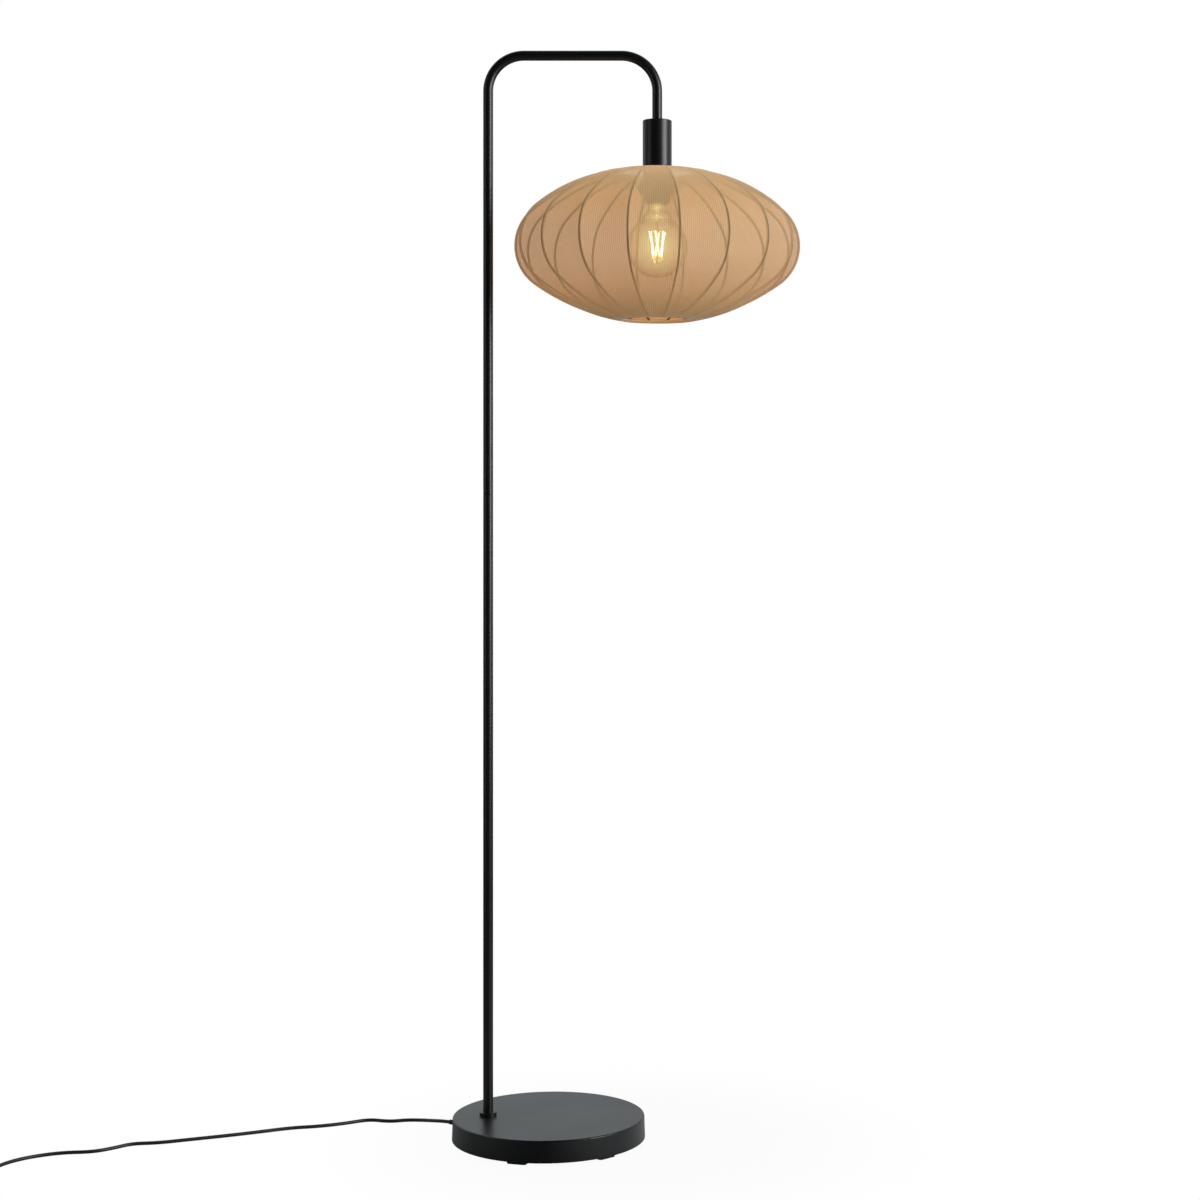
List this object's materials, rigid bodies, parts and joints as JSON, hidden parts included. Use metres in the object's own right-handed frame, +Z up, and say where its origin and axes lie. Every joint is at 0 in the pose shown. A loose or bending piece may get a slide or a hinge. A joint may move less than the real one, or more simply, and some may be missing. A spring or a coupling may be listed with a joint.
{
  "type": "floor lamp",
  "caption": "Floor lamp with a weighted round base, a tube pole arched over at the top, and a flattened round fabric shade on wire ribs round a globe bulb; lead with foot switch.",
  "frame": {"origin": "on the floor, under the middle of the lamp's own outline without its mains lead", "axes": "+Z up; +X from the pole towards the shade; -Y the lamp's front"},
  "size_m": [1.2354, 0.394, 1.527],
  "materials": {
    "black_metal": "satin powder coat",
    "cast_weight": "rough casting",
    "zinc_steel": "zinc plated",
    "pad_rubber": "matt",
    "black_plastic": "matt moulding",
    "brass": "plain",
    "frame_wire": "coated wire",
    "shade_cloth": "fine knit, translucent",
    "clear_glass": "clear, lightly tinted",
    "nickel_cap": "nickel plated",
    "black_glass": "glazed",
    "filament": "lit phosphor strip",
    "cord_black": "smooth sheath",
    "black_rubber": "soft moulding",
    "tie_black": "woven strap",
    "switch_black": "fine texture",
    "plug_black": "satin moulding"
  },
  "bodies": {
    "root": {"base_cover": "black_metal", "base_weight": "cast_weight", "base_plate": "black_metal", "base_plate_screws": "zinc_steel", "base_pads": "pad_rubber", "pole_collar": "black_metal", "base_nipple": "zinc_steel", "base_washer": "zinc_steel", "base_nut": "zinc_steel", "pole_lower": "black_metal", "pole_middle": "black_metal", "pole_upper": "black_metal", "arch_tube": "black_metal", "thread_bushes": "zinc_steel", "joint_nipples": "zinc_steel", "holder_cup": "black_metal", "cup_washer": "zinc_steel", "cup_nut": "zinc_steel", "cup_nipple": "zinc_steel", "holder_body": "black_plastic", "holder_shell": "brass", "holder_contact": "brass", "shade_ring": "black_plastic", "shade_fitter": "frame_wire", "shade_ribs": "frame_wire", "shade_bottom_ring": "frame_wire", "shade_cover": "shade_cloth", "inner_lead": "cord_black", "cord_grip": "black_rubber", "cord_lead": "cord_black", "cord_tail": "cord_black", "cord_coil": "cord_black", "coil_tie": "tie_black", "switch_base": "switch_black", "switch_cover": "switch_black", "switch_block": "black_plastic", "switch_sleeves": "black_rubber", "plug_sleeve": "black_rubber", "plug_body": "plug_black", "plug_pins": "nickel_cap"},
    "bulb": {"bulb_globe": "clear_glass", "bulb_cap": "nickel_cap", "bulb_insulator": "black_glass", "bulb_contact": "nickel_cap", "bulb_stem": "clear_glass", "bulb_filaments": "filament", "bulb_supports": "zinc_steel"},
    "button": {"switch_button": "switch_black"}
  },
  "joints": [
    {"name": "bulb_unscrew", "type": "slide", "parent": "root", "child": "bulb", "axis": [0, 0, -1], "range_m": [0, 0.022]},
    {"name": "switch_press", "type": "slide", "parent": "root", "child": "button", "axis": [0, 0, -1], "range_m": [0, 0.003], "stiffness_N_per_m": 600, "springref_m": -0.002}
  ]
}
